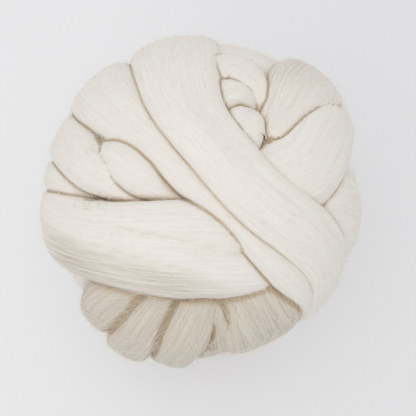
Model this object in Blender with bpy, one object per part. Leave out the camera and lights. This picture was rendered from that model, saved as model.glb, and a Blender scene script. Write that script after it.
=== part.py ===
"""Ball of wool roving.

One continuous length of thick, soft, untwisted combed wool, wound by hand into a ball.
The ball is a single solid: the outer skin of its overlapping passes, with the creases
between them, on a small flat spot where it rests.

Each pass is a flattened rope laid over an ellipsoid core. Its centre line is a short row
of stations, given as longitude and latitude on the core, the height of the rope's middle
above the core, and the rope's width. Longitude 0 faces the front (-Y), 90 the right (+X).

Units are metres in Blender and millimetres and degrees in the tables. +Z is up, and the
origin is on the surface that the ball rests on, under the middle of its bounding box.
"""
import math
from collections import namedtuple

import bmesh
import bpy
import numpy as np
from mathutils import Vector

MM = 0.001

# Driving dimensions
CORE_RADII = np.array([66.0, 72.0, 53.0])
CORE_CENTRE = np.array([0.8, -1.2, 58.0])
CORE_INSET = 2.5
SECTION_POWER = 0.8
UNDERSIDE = 0.7
WRAP_RADIUS = 0.95
FULL_WIDTH = 18.0
END_TAPER = 12.0
END_SCALE = 0.25

# Mesh resolution of the construction form and of the finished skin
STATION_STEP = 5.0
SECTION_COLUMNS = 28
CURVE_SAMPLES = 40
CORE_SEGMENTS = 48
CORE_RINGS = 32
SKIN_SUBDIVISIONS = 7
SKIN_START_RADIUS = 120.0
SKIN_SMOOTH_PASSES = 6
SKIN_KEEP = 0.095
FLOOR_BLOCK = 300.0

# The wool's own colour and finish
WOOL_COLOUR = (0.80, 0.76, 0.69, 1.0)
WOOL_ROUGHNESS = 0.95

Pass = namedtuple("Pass", "name thickness lon lat lift width")

# Passes on the underside and low on the sides, mostly covered by the ones laid later
UNDER_PASSES = (
    Pass("under_left", 15,
         lon=(-150, -110, -60, -10, 30),
         lat=(-34, -52, -58, -56, -40),
         lift=(-6, -5, -5, -5, -6),
         width=(34, 40, 42, 40, 34)),
    Pass("under_right", 15,
         lon=(16, 60, 110, 160, 190),
         lat=(-38, -52, -58, -54, -34),
         lift=(-10, -5, -5, -5, -6),
         width=(34, 40, 42, 40, 34)),
    Pass("under_middle", 15,
         lon=(-90, -100, 80, 88),
         lat=(-44, -76, -76, -40),
         lift=(-6, 0.5, 0.5, -6),
         width=(36, 46, 46, 36)),
    Pass("left_low", 15,
         lon=(-140, -105, -70, -35),
         lat=(-26, -22, -20, -24),
         lift=(-7, -7, -7, -7),
         width=(34, 38, 38, 34)),
    Pass("right_low", 15,
         lon=(40, 66, 102, 140),
         lat=(-26, -16, -14, -22),
         lift=(-8, -3, -2, -3),
         width=(36, 42, 44, 38)),
    Pass("back_low", 15,
         lon=(105, 145, 185, 225, 260),
         lat=(-16, -10, -10, -14, -20),
         lift=(-3, 0, 0, -1, -3),
         width=(34, 42, 44, 40, 34)),
    Pass("back_cross", 15,
         lon=(92, 125, 160, 200, 240, 260),
         lat=(-8, 12, 26, 30, 22, 5),
         lift=(-4, -1, 1, 0, -2, -4),
         width=(32, 36, 40, 40, 38, 34)),
)

# Upright passes between the others, all alike but for their longitude
UPRIGHT_LONGITUDES = (-156, -62, 4, 98, 167)
UPRIGHT = Pass("upright", 15,
               lon=(0, 0, 0, 0),
               lat=(30, 4, -24, -72),
               lift=(-8, -5.5, -6, -7),
               width=(24, 32, 36, 28))

# Passes that show, in the order in which they were laid
OUTER_PASSES = (
    Pass("lower_right", 16,
         lon=(10, 14, 19, 22, 26),
         lat=(38, 28, 12, -8, -74),
         lift=(-12, -8, -3, -5.5, -5),
         width=(32, 40, 46, 50, 36)),
    Pass("lower_curl", 9,
         lon=(0, 5, 6, 2, -5),
         lat=(27, 20, 10, 3, -4),
         lift=(-4, 1, 1, -1, -5),
         width=(7, 8, 9, 9, 8)),
    Pass("lower_front_left", 16,
         lon=(-10, -13, -20, -26, -31, -40),
         lat=(38, 27, 10, -6, -32, -74),
         lift=(-12, -8, -0.5, 2.2, 0, -5),
         width=(15, 18, 20.5, 22.5, 22.5, 21)),
    Pass("lower_left", 16,
         lon=(-20, -25, -34, -39, -45, -60),
         lat=(36, 26, 10, -6, -32, -74),
         lift=(-12, -8, -1.5, -0.5, -1.5, -5),
         width=(21, 26, 28, 26, 25, 24)),
    Pass("lower_front_loop", 16,
         lon=(6.5, 2.5, -5.5, -11.5, -14, -22),
         lat=(38, 28, 12, -6, -32, -74),
         lift=(-12, -7, 0.5, -0.5, -2, -5),
         width=(15, 18, 20.5, 22, 22, 22)),
    Pass("inner_arc", 16,
         lon=(192, 176, 160, 147, 135, 126, 118),
         lat=(50, 49, 47, 50, 54, 58, 62),
         lift=(-2, 1, 2, 1, 0, -3, -8),
         width=(20, 23, 23, 20, 14, 9, 6)),
    Pass("inner_fold", 15,
         lon=(178, 163, 150, 138, 128, 120),
         lat=(76, 67, 62, 60, 60, 60),
         lift=(-3, 0, 1, 0, -3, -8),
         width=(20, 22, 20, 14, 9, 6)),
    Pass("inner_loop", 17,
         lon=(130, 127, 117, 97, 80, 66),
         lat=(58, 64, 69, 73, 71, 68),
         lift=(-8, -2, 1, 1.5, 0, -5),
         width=(8, 13, 18, 21, 17, 9)),
    Pass("upper_fan", 17,
         lon=(158, 152, 144.5, 133, 124.5, 114, 98, 76, 50),
         lat=(-74, -40, -8, 18, 36, 47, 58, 65, 68),
         lift=(-5, -1.5, 1, 7.5, 6, 1.5, -1.5, -4, -8),
         width=(30, 34, 37, 37.5, 37, 28.5, 17.5, 9.5, 7)),
    Pass("right_side", 17,
         lon=(40, 58, 72, 80, 82, 80, 74),
         lat=(52, 42, 27, 10, -8, -40, -74),
         lift=(-9, -5, -1.5, -1, -2, -2.5, -5),
         width=(28, 35, 41, 47, 46, 42, 36)),
    Pass("right_wrap", 17,
         lon=(10, 36, 58, 78, 102, 119, 126, 130, 134),
         lat=(62, 62, 55.5, 46, 36.5, 21.5, -2, -40, -74),
         lift=(-7, -3, 0.5, 2.6, 4.6, 5.4, 1.5, -1, -5),
         width=(26, 30, 33, 36, 37, 37, 35, 34, 30)),
    Pass("twist_low", 16,
         lon=(-120, -113, -106, -98, -87, -76, -63, -49),
         lat=(-74, -45, -12, 8, 22, 31, 39, 45),
         lift=(-5, -2.5, 0, 0.5, 1, 0.5, -3, -8),
         width=(22, 22, 22, 20, 17, 13, 10, 7)),
    Pass("twist_mid", 19,
         lon=(-140, -131, -119, -109, -95, -79, -60, -42, -28),
         lat=(-74, -38, 0, 17, 33, 43, 51, 54, 54),
         lift=(-5, -3, -1, 0, 1, 1.5, -1, -5, -9),
         width=(26, 27, 28, 28, 25, 20, 15, 10, 8)),
    Pass("twist_high", 18,
         lon=(-104, -91, -77, -58, -36, -12, 8),
         lat=(38, 46, 54, 59, 61, 61, 58),
         lift=(-7, -1, 1.5, 1, -1, -4, -8),
         width=(9, 15, 20, 18, 12, 9, 7)),
    Pass("front_crescent", 17,
         lon=(-128, -114, -98, -84, -68, -46, -22, 2, 22, 42, 60),
         lat=(-74, -46, -16, 0, 17, 32, 41, 43, 39, 30, 20),
         lift=(-5, -4.5, -3.8, 0, 2, 2.5, 2.5, 0.5, -2.5, -6.5, -9),
         width=(26, 28, 30, 31, 33, 36, 40, 40, 38, 34, 30)),
    Pass("left_diagonal", 16,
         lon=(-126, -131, -136, -135, -124, -108, -86, -45, 0, 20, 29, 38, 42, 44),
         lat=(-74, -50, -12, 18, 40, 58, 69, 73, 66, 53, 39, 21, 4, -28),
         lift=(-5, -2, 1, 4, 3.5, 2, 2, 2, 2.5, 2.5, 2, 0, -4, -8),
         width=(28, 31, 35, 36, 33, 27, 20, 16, 15, 15, 16, 18, 18, 18)),
    Pass("main_diagonal", 18,
         lon=(178, 183, 188, 191, 195, 201, 208, 402, 398, 402, 408, 412, 411, 410, 406),
         lat=(-74, -48, -15, 20, 45, 64, 80, 84, 66, 52, 38, 22, 4, -34, -74),
         lift=(-5, -2, 0, 3, 3.4, 4, 4.5, 5, 5, 5, 4, 1.5, -2.6, -4.2, -5),
         width=(30, 34, 38, 43.5, 42, 37, 32, 29, 28, 29, 30, 32, 33, 31, 28)),
)


def clear_scene():
    """Remove every object, so that the ball is the only model in the file."""
    for item in list(bpy.data.objects):
        bpy.data.objects.remove(item, do_unlink=True)


def new_collection(name):
    """A collection of that name, linked to the scene."""
    collection = bpy.data.collections.new(name)
    bpy.context.scene.collection.children.link(collection)
    return collection


def upright_passes():
    """The plain upright passes, one for each of their longitudes."""
    return [UPRIGHT._replace(name=f"upright_{number}", lon=tuple(x + place for x in UPRIGHT.lon))
            for number, place in enumerate(UPRIGHT_LONGITUDES, 1)]


def all_passes():
    """Every pass of the ball, from the innermost outwards."""
    return [*UNDER_PASSES, *upright_passes(), *OUTER_PASSES]


def directions(lon, lat):
    """Unit vectors from the core's centre for arrays of degrees."""
    lon = np.radians(lon)
    lat = np.radians(lat)
    return np.stack([np.sin(lon) * np.cos(lat), -np.cos(lon) * np.cos(lat), np.sin(lat)], axis=1)


def unit(vectors):
    """The vectors at length 1."""
    return vectors / np.linalg.norm(vectors, axis=-1, keepdims=True)


def smooth_curve(rows, at):
    """Catmull-Rom curve through the rows, read at parameters from 0 to len(rows) - 1."""
    padded = np.vstack([2 * rows[0] - rows[1], rows, 2 * rows[-1] - rows[-2]])
    first = np.clip(at.astype(int), 0, len(rows) - 2)
    f = (at - first)[:, None]
    a, b, c, d = (padded[first + k] for k in range(4))
    cubic = 3 * b - a - 3 * c + d
    square = 2 * a - 5 * b + 4 * c - d
    return 0.5 * (2 * b + (c - a) * f + square * f ** 2 + cubic * f ** 3)


def centre_line(rope):
    """Evenly spaced stations along a pass: distance, centre, tangent, normal, side and width."""
    rows = len(rope.lon)
    at = np.linspace(0, rows - 1, CURVE_SAMPLES * (rows - 1))
    away = unit(smooth_curve(directions(rope.lon, rope.lat), at))
    sizes = smooth_curve(np.array([rope.lift, rope.width], float).T, at)
    on_core = away / np.sqrt(((away / CORE_RADII) ** 2).sum(axis=1))[:, None]
    normal = unit(on_core / CORE_RADII ** 2)
    centre = on_core + normal * sizes[:, :1]
    run = np.concatenate([[0], np.cumsum(np.linalg.norm(np.diff(centre, axis=0), axis=1))])
    along = np.linspace(0, run[-1], max(8, round(run[-1] / STATION_STEP)) + 1)
    table = np.hstack([centre, normal, sizes[:, 1:]])
    table = np.stack([np.interp(along, run, column) for column in table.T], axis=1)
    centre, normal, width = table[:, :3], table[:, 3:6], table[:, 6]
    tangent = unit(np.gradient(centre, axis=0))
    normal = unit(normal - tangent * (normal * tangent).sum(axis=1)[:, None])
    return along, centre, normal, np.cross(tangent, normal), width


def section(columns):
    """A rounded, flattened unit section, softer below than above."""
    turn = np.linspace(0, 2 * math.pi, columns, endpoint=False)
    across = np.sign(np.cos(turn)) * np.abs(np.cos(turn)) ** SECTION_POWER
    height = np.sign(np.sin(turn)) * np.abs(np.sin(turn)) ** SECTION_POWER
    return across, np.where(height < 0, height * UNDERSIDE, height)


def add_loft(form, rope):
    """Add one pass to the bmesh: its sections bend round the ball and taper at both ends."""
    along, centre, normal, side, width = centre_line(rope)
    across, height = section(SECTION_COLUMNS)
    near_end = np.clip(np.minimum(along, along[-1] - along) / END_TAPER, 0, 1)
    taper = END_SCALE + (1 - END_SCALE) * np.sin(near_end * math.pi / 2)
    half_width = width * taper / 2
    half_height = rope.thickness * np.minimum(1, width / FULL_WIDTH) * taper / 2
    radius = WRAP_RADIUS * np.linalg.norm(centre, axis=1)
    bend = half_width[:, None] * across / radius[:, None]
    reach = radius[:, None] + half_height[:, None] * height
    points = (CORE_CENTRE + centre[:, None, :]
              + side[:, None, :] * (reach * np.sin(bend))[:, :, None]
              + normal[:, None, :] * (reach * np.cos(bend) - radius[:, None])[:, :, None])
    rings = [[form.verts.new(point * MM) for point in ring] for ring in points]
    for ring, following in zip(rings, rings[1:]):
        for k in range(SECTION_COLUMNS):
            after = (k + 1) % SECTION_COLUMNS
            form.faces.new((ring[k], following[k], following[after], ring[after]))
    form.faces.new(rings[0])
    form.faces.new(rings[-1][::-1])


def add_core(form):
    """Add the wound core that the outer passes lie on."""
    made = bmesh.ops.create_uvsphere(form, u_segments=CORE_SEGMENTS, v_segments=CORE_RINGS, radius=1)
    bmesh.ops.scale(form, vec=Vector((CORE_RADII - CORE_INSET) * MM), verts=made["verts"])
    bmesh.ops.translate(form, vec=Vector(CORE_CENTRE * MM), verts=made["verts"])


def make_guide(name, mesh, collection):
    """A construction object: drawn as wire and left out of renders."""
    guide = bpy.data.objects.new(name, mesh)
    guide.hide_render = True
    guide.display_type = "WIRE"
    collection.objects.link(guide)
    return guide


def make_wound_form(collection):
    """The core and all the passes together, as the guide that the skin is drawn onto."""
    form = bmesh.new()
    add_core(form)
    for rope in all_passes():
        add_loft(form, rope)
    mesh = bpy.data.meshes.new("wound_form")
    form.to_mesh(mesh)
    form.free()
    return make_guide("wound_form", mesh, collection)


def make_floor_block(collection):
    """The cutter whose top face, at height 0, leaves the flat spot that the ball rests on."""
    block = bmesh.new()
    bmesh.ops.create_cube(block, size=FLOOR_BLOCK * MM)
    bmesh.ops.translate(block, vec=(0, 0, -FLOOR_BLOCK * MM / 2), verts=block.verts)
    mesh = bpy.data.meshes.new("floor_block")
    block.to_mesh(mesh)
    block.free()
    return make_guide("floor_block", mesh, collection)


def wool_material():
    """Undyed combed wool: cream, matt."""
    material = bpy.data.materials.new("wool_roving")
    material.use_nodes = True
    shader = material.node_tree.nodes["Principled BSDF"]
    shader.inputs["Base Color"].default_value = WOOL_COLOUR
    shader.inputs["Roughness"].default_value = WOOL_ROUGHNESS
    shader.inputs["Metallic"].default_value = 0.0
    return material


def make_roving_ball(form, floor_block, collection):
    """The ball's one skin: a sphere drawn in onto the wound form and cut flat below."""
    sphere = bmesh.new()
    bmesh.ops.create_icosphere(sphere, subdivisions=SKIN_SUBDIVISIONS, radius=SKIN_START_RADIUS * MM)
    bmesh.ops.translate(sphere, vec=Vector(CORE_CENTRE * MM), verts=sphere.verts)
    mesh = bpy.data.meshes.new("roving_ball")
    sphere.to_mesh(mesh)
    sphere.free()
    mesh.materials.append(wool_material())
    mesh.shade_smooth()
    ball = bpy.data.objects.new("roving_ball", mesh)
    collection.objects.link(ball)

    wrap = ball.modifiers.new("draw_in", "SHRINKWRAP")
    wrap.wrap_method = "PROJECT"
    wrap.use_negative_direction = True
    wrap.use_positive_direction = False
    wrap.target = form
    soften = ball.modifiers.new("soften", "SMOOTH")
    soften.factor = 0.5
    soften.iterations = SKIN_SMOOTH_PASSES
    thin = ball.modifiers.new("thin_out", "DECIMATE")
    thin.ratio = SKIN_KEEP
    rest = ball.modifiers.new("rest_flat", "BOOLEAN")
    rest.operation = "DIFFERENCE"
    rest.object = floor_block
    return ball


def main():
    """Build the ball."""
    clear_scene()
    parts = new_collection("wool_roving_ball")
    guides = new_collection("construction")
    form = make_wound_form(guides)
    floor_block = make_floor_block(guides)
    make_roving_ball(form, floor_block, parts)


main()
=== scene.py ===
"""The looks of a ball of wool roving: a thick, soft rope of combed wool wound over itself.

Every pass of the rope is a flattened loft over an ellipsoid core, with folds and grooves along
it. A furrow runs where two passes meet, and shade is painted into its wool's colour: darker and
tan where short rays find it shut in.
Loose fibres lie along the rope, and short hairs stand out of it. Tables are in millimetres and
degrees. Longitude 0 faces the front (-Y), and 90 the right.
"""

import math
from collections import namedtuple
from functools import cache

import bmesh
import bpy
import numpy as np
from bpy.props import FloatProperty, FloatVectorProperty, PointerProperty
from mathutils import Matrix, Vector
from mathutils.bvhtree import BVHTree


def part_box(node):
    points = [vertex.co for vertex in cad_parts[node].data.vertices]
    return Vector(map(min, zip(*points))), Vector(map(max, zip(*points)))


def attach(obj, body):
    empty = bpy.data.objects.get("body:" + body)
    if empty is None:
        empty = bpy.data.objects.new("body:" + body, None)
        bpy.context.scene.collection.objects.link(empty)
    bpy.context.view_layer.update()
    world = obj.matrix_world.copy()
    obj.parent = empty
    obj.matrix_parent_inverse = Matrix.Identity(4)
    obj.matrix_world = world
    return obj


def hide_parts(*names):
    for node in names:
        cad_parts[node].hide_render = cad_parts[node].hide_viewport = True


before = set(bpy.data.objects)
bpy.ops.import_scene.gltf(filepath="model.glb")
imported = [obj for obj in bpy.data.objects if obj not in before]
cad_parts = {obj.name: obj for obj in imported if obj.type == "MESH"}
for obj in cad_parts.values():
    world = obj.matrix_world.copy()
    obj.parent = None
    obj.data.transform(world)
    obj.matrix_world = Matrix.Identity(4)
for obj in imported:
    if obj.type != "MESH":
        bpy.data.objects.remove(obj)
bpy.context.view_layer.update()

bl_info = {
    "name": "Wool Roving Ball",
    "version": (1, 0, 0),
    "blender": (4, 5, 0),
    "location": "View3D > Sidebar > Roving",
    "description": "Winds a ball of combed wool roving and lights it",
    "category": "Object",
}

MM = 0.001
MM2_IN_CM2 = 100
TINY = 1e-9
BALL = "roving_ball"
BODY = "root"
BALL_LOW, BALL_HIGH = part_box(BALL)
BALL_MIDDLE = (np.array(BALL_LOW) + np.array(BALL_HIGH)) / 2 / MM

# The core that the passes are laid over
CORE_RADII = np.array([66.0, 72.0, 53.0])
CORE_SHIFT = np.array([0.8, -1.2, -4.4])
CORE_CENTRE = BALL_MIDDLE + CORE_SHIFT
CORE_INSET = 4.0

# A pass's section: a rounded, flattened rope that bends round the ball and tapers at its ends
SECTION_POWER = 0.8
UNDERSIDE = 0.7
WRAP_RADIUS = 0.95
FULL_WIDTH = 18.0
END_TAPER = 12.0
END_SCALE = 0.25
NOMINAL_HALF = (18.0, 8.0)
FLOOR_SOFTNESS = 0.9

# How closely a pass is divided, in millimetres along it and across it
Mesh = namedtuple("Mesh", "station column")
SHOWN_MESH = Mesh(1.0, 0.9)
HIDDEN_MESH = Mesh(2.0, 1.3)
GIRTH_FOR_WIDTH = 1.3
FEWEST_COLUMNS = 20
UNDER_COLUMNS = 8
CURVE_SAMPLES = 60
LATTICE_SHAPE = (97, 89)

# Maps and values that each pass carries for its material
ROPE_MAP = "Rope"
BAKE_MAP = "OFBake"
BAKE_EDGE = 0.002
COARSE = "coarse"
TOUCH = "touch"
SHUT = "shut"

# A pass goes through points at these longitudes and latitudes, so far above the core and so wide
Pass = namedtuple("Pass", "name thickness lon lat lift width")

# Passes on the underside and low on the sides, mostly covered by the ones laid later
UNDER_PASSES = (
    Pass("under_left", 15,
         lon=(-150, -110, -60, -10, 30),
         lat=(-34, -52, -58, -56, -40),
         lift=(-6, -5, -5, -5, -6),
         width=(34, 40, 42, 40, 34)),
    Pass("under_right", 15,
         lon=(16, 60, 110, 160, 190),
         lat=(-38, -52, -58, -54, -34),
         lift=(-10, -5, -5, -5, -6),
         width=(34, 40, 42, 40, 34)),
    Pass("under_middle", 15,
         lon=(-90, -100, 80, 88),
         lat=(-44, -76, -76, -40),
         lift=(-6, 0.5, 0.5, -6),
         width=(36, 46, 46, 36)),
    Pass("left_low", 15,
         lon=(-140, -105, -70, -35),
         lat=(-26, -22, -20, -24),
         lift=(-7, -7, -7, -7),
         width=(34, 38, 38, 34)),
    Pass("right_low", 15,
         lon=(40, 66, 102, 140),
         lat=(-26, -16, -14, -22),
         lift=(-8, -3, -2, -3),
         width=(36, 42, 44, 38)),
    Pass("back_low", 15,
         lon=(105, 145, 185, 225, 260),
         lat=(-16, -10, -10, -14, -20),
         lift=(-3, 0, 0, -1, -3),
         width=(34, 42, 44, 40, 34)),
    Pass("back_cross", 15,
         lon=(92, 125, 160, 200, 240, 260),
         lat=(-8, 12, 26, 30, 22, 5),
         lift=(-4, -1, 1, 0, -2, -4),
         width=(32, 36, 40, 40, 38, 34)),
)

# Upright passes between the others, all alike but for their longitude
UPRIGHT_LONGITUDES = (-156, -62, 4, 98, 167)
UPRIGHT = Pass("upright", 15,
               lon=(0, 0, 0, 0),
               lat=(30, 4, -24, -72),
               lift=(-8, -5.5, -6, -7),
               width=(24, 32, 36, 28))

# Passes that show, in the order in which they were laid
OUTER_PASSES = (
    Pass("lower_right", 16,
         lon=(10, 14, 19, 22, 26),
         lat=(38, 28, 12, -8, -74),
         lift=(-12, -8, -3, -5.5, -5),
         width=(32, 40, 46, 50, 36)),
    Pass("lower_curl", 9,
         lon=(0, 5, 6, 2, -5),
         lat=(27, 20, 10, 3, -4),
         lift=(-4, 1, 1, -1, -5),
         width=(7, 8, 9, 9, 8)),
    Pass("lower_front_left", 16,
         lon=(-10, -13, -20, -26, -31, -40),
         lat=(38, 27, 10, -6, -32, -74),
         lift=(-12, -8, -0.5, 2.2, 0, -5),
         width=(15, 18, 20.5, 22.5, 22.5, 21)),
    Pass("lower_left", 16,
         lon=(-20, -25, -34, -39, -45, -60),
         lat=(36, 26, 10, -6, -32, -74),
         lift=(-12, -8, -1.5, -0.5, -1.5, -5),
         width=(21, 26, 28, 26, 25, 24)),
    Pass("lower_front_loop", 16,
         lon=(6.5, 2.5, -5.5, -11.5, -14, -22),
         lat=(38, 28, 12, -6, -32, -74),
         lift=(-12, -7, 0.5, -0.5, -2, -5),
         width=(15, 18, 20.5, 22, 22, 22)),
    Pass("inner_arc", 16,
         lon=(192, 176, 160, 147, 135, 126, 118),
         lat=(50, 49, 47, 50, 54, 58, 62),
         lift=(-2, 1, 2, 1, 0, -3, -8),
         width=(20, 23, 23, 20, 14, 9, 6)),
    Pass("inner_fold", 15,
         lon=(178, 163, 150, 138, 128, 120),
         lat=(76, 67, 62, 60, 60, 60),
         lift=(-3, 0, 1, 0, -3, -8),
         width=(20, 22, 20, 14, 9, 6)),
    Pass("inner_loop", 17,
         lon=(130, 127, 117, 97, 80, 66),
         lat=(58, 64, 69, 73, 71, 68),
         lift=(-8, -2, 1, 1.5, 0, -5),
         width=(8, 13, 18, 21, 17, 9)),
    Pass("upper_fan", 17,
         lon=(158, 152, 144.5, 133, 124.5, 114, 98, 76, 50),
         lat=(-74, -40, -8, 18, 36, 47, 58, 65, 68),
         lift=(-5, -1.5, 1, 7.5, 6, 1.5, -1.5, -4, -8),
         width=(30, 34, 37, 37.5, 37, 28.5, 17.5, 9.5, 7)),
    Pass("right_side", 17,
         lon=(40, 58, 72, 80, 82, 80, 74),
         lat=(52, 42, 27, 10, -8, -40, -74),
         lift=(-9, -5, -1.5, -1, -2, -2.5, -5),
         width=(28, 35, 41, 47, 46, 42, 36)),
    Pass("right_wrap", 17,
         lon=(10, 36, 58, 78, 102, 119, 126, 130, 134),
         lat=(62, 62, 55.5, 46, 36.5, 21.5, -2, -40, -74),
         lift=(-7, -3, 0.5, 2.6, 4.6, 5.4, 1.5, -1, -5),
         width=(26, 30, 33, 36, 37, 37, 35, 34, 30)),
    Pass("twist_low", 16,
         lon=(-120, -113, -106, -98, -87, -76, -63, -49),
         lat=(-74, -45, -12, 8, 22, 31, 39, 45),
         lift=(-5, -2.5, 0, 0.5, 1, 0.5, -3, -8),
         width=(22, 22, 22, 20, 17, 13, 10, 7)),
    Pass("twist_mid", 19,
         lon=(-140, -131, -119, -109, -95, -79, -60, -42, -28),
         lat=(-74, -38, 0, 17, 33, 43, 51, 54, 54),
         lift=(-5, -3, -1, 0, 1, 1.5, -1, -5, -9),
         width=(26, 27, 28, 28, 25, 20, 15, 10, 8)),
    Pass("twist_high", 18,
         lon=(-104, -91, -77, -58, -36, -12, 8),
         lat=(38, 46, 54, 59, 61, 61, 58),
         lift=(-7, -1, 1.5, 1, -1, -4, -8),
         width=(9, 15, 20, 18, 12, 9, 7)),
    Pass("front_crescent", 17,
         lon=(-128, -114, -98, -84, -68, -46, -22, 2, 22, 42, 60),
         lat=(-74, -46, -16, 0, 17, 32, 41, 43, 39, 30, 20),
         lift=(-5, -4.5, -3.8, 0, 2, 2.5, 2.5, 0.5, -2.5, -6.5, -9),
         width=(26, 28, 30, 31, 33, 36, 40, 40, 38, 34, 30)),
    Pass("left_diagonal", 16,
         lon=(-126, -131, -136, -135, -124, -108, -86, -45, 0, 20, 29, 38, 42, 44),
         lat=(-74, -50, -12, 18, 40, 58, 69, 73, 66, 53, 39, 21, 4, -28),
         lift=(-5, -2, 1, 4, 3.5, 2, 2, 2, 2.5, 2.5, 2, 0, -4, -8),
         width=(28, 31, 35, 36, 33, 27, 20, 16, 15, 15, 16, 18, 18, 18)),
    Pass("main_diagonal", 18,
         lon=(178, 183, 188, 191, 195, 201, 208, 402, 398, 402, 408, 412, 411, 410, 406),
         lat=(-74, -48, -15, 20, 45, 64, 80, 84, 66, 52, 38, 22, 4, -34, -74),
         lift=(-5, -2, 0, 3, 3.4, 4, 4.5, 5, 5, 5, 4, 1.5, -2.6, -4.2, -5),
         width=(30, 34, 38, 43.5, 42, 37, 32, 29, 28, 29, 30, 32, 33, 31, 28)),
)

# How each pass is finished: its wool, how deep its folds are, how far its fibres swirl round
# the rope for each millimetre along it, how many loose fibres lie on it for each cm2, and how
# far they stray from its line in radians
Finish = namedtuple("Finish", "wool folds swirl hairs stray", defaults=(0.09,))
PLAIN = Finish("plain", 1.0, 0.0, 7)
# The low wool is coarser, and darker as painted shade, on the passes underneath and low in front
FINISHES = {
    "under_left": Finish("low", 1.0, 0.0, 3),
    "under_right": Finish("low", 1.0, 0.0, 3),
    "under_middle": Finish("low", 1.0, 0.0, 1),
    "lower_right": Finish("low", 1.5, 0.16, 20, 0.25),
    "lower_curl": Finish("low", 1.0, 0.3, 30, 0.4),
    "lower_front_left": Finish("low", 1.6, 0.25, 27, 0.38),
    "lower_left": Finish("low", 1.6, 0.3, 23, 0.38),
    "lower_front_loop": Finish("low", 1.6, -0.3, 25, 0.3),
    "upright_3": Finish("low", 1.5, 0.1, 20, 0.25),
    "front_crescent": Finish("plain", 1.0, 0.0, 11, 0.12),
    "twist_low": Finish("plain", 1.2, 0.12, 12),
    "twist_mid": Finish("plain", 1.1, 0.12, 10),
    "twist_high": Finish("plain", 1.1, 0.12, 10),
}

# Fold lines between the bundles of fibre in a pass: how far along the pass each starts and
# ends, how far across it there, from -1 at one edge to 1 at the other, and its depth and width
Groove = namedtuple("Groove", "rope start end place_start place_end depth width")
GROOVES = (
    Groove("front_crescent", 0.58, 0.87, -0.50, 0.12, 0.8, 1.7),
    Groove("front_crescent", 0.53, 0.79, -0.12, 0.48, 0.8, 1.7),
    Groove("right_wrap", 0.12, 0.56, -1.15, -0.05, 2.6, 2.6),
)
GROOVE_FADE = 0.2
# Passes whose edge beyond a groove stays down, tucked under the next pass
TUCKED_EDGES = {"right_wrap"}

# Bands of coarser, greyer wool, darker partly as painted shade: how far along the pass each
# starts and ends, how far across it begins there, and over how much of the width it comes in
Band = namedtuple("Band", "rope start end place_start place_end blend")
COARSE_BANDS = (
    Band("front_crescent", 0.40, 0.86, -0.35, 0.58, 0.25),
    Band("upper_fan", 0.10, 0.95, -0.80, -0.80, 2.8),
)
BAND_FADE = 0.25

# Folds along every pass. Soft ones: length along, width across and height, in millimetres
FOLD_WAVES = ((170.0, 9.0, 0.42), (140.0, 4.0, 0.16))
# Fine lines where two bundles of fibre meet: length, width, depth and sharpness
FOLD_LINE = (190.0, 9.0, 0.25, 0.14)
# How the folds wander across: length, width and distance
MEANDER = (130.0, 30.0, 2.0)
# How the pass's edges wander: length, and share of the width
EDGE_WANDER = (26.0, 0.035)
# Half a pass's width from which its folds are full, and their least share where it is narrower
FULL_RELIEF_WIDTH = 8.0
LEAST_RELIEF = 0.3

# Touch: how far off the next pass counts, and how wide and deep the furrow between them is.
# Where passes touch, crease shade is painted into the wool's colour.
TOUCH_REACH = 5.0
PRESS_REACH = 3.0
PRESS_DEPTH = 0.65
# Seams that hardly show, with little painted crease shade, and how far apart in millimetres they
# are taken to be
SOFT_SEAMS = {
    frozenset({"main_diagonal", "left_diagonal"}): 0.5,
    frozenset({"main_diagonal", "right_wrap"}): 0.9,
}
# The groove's depth that counts as touching, so that crease shade is painted in the groove
DEEP_GROOVE = 2.9

# Shut: the rays cast from every other column, their reach and start above the wool, how wide
# they spread, and how many points in from the open a buried one takes their value
# The material paints shade in creases and hollows from how shut in the wool is
SHUT_RAYS = 24
SHUT_EVERY = 2
SHUT_REACH = 6.0
SHUT_START = 0.3
RAY_SPREAD = 0.92
ALMOST_UPRIGHT = 0.9
SHUT_FILLS = 3
# How shut in a groove is, for the shade painted in it, and from where wool is too shut in for
# loose fibres
GROOVE_SHUT = 0.30
SHUT_TOO_FAR = 0.75

# Thin tubes for fibres: their sides, how near their rounded ends they are cut, the range of
# their tones and its step from side to side, and their lengths and places on the bake map
FIBRE_SIDES = 3
TUBE_TIP = 0.12
TONE_RANGE = (0.03, 0.97)
TONE_SPREAD = 0.012
TUBE_ON_MAP = (0.05, 0.2)
TUBE_SHIFT = 0.75
# Painted shade on loose fibres: a fibre's tone in the open, what it loses where it is shut in,
# and the least that is left
SHUT_SHADE_TONE = (1.25, 1.4, 0.1)

# Loose fibres: short tubes that lie along the rope, sunk in at the middle with their ends up
FIBRE_POINTS = 7
FIBRE_LENGTH = (9.0, 34.0)
FIBRE_RADIUS = (0.02, 0.05)
FIBRE_SINK = 0.15
FIBRE_CLEARANCE = 0.1
FIBRE_LIFT = (0.12, 1.8)
FIBRE_MIDDLE = 0.35
FIBRE_ARCH = 1.5
FIBRE_BEND = 0.3
FIBRE_CRIMP = (0.35, 7.0)
FIBRE_TONES = (0.86, 1.0)

# Fuzz: short hairs that stand out of the wool, so many for each cm2
FUZZ_HAIRS = 9
FUZZ_POINTS = 4
FUZZ_LENGTH = (1.2, 4.5)
FUZZ_RADIUS = (0.035, 0.08)
FUZZ_LEAN = 1.0
FUZZ_CURL = 0.4
FUZZ_TONES = (0.6, 0.95)
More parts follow.
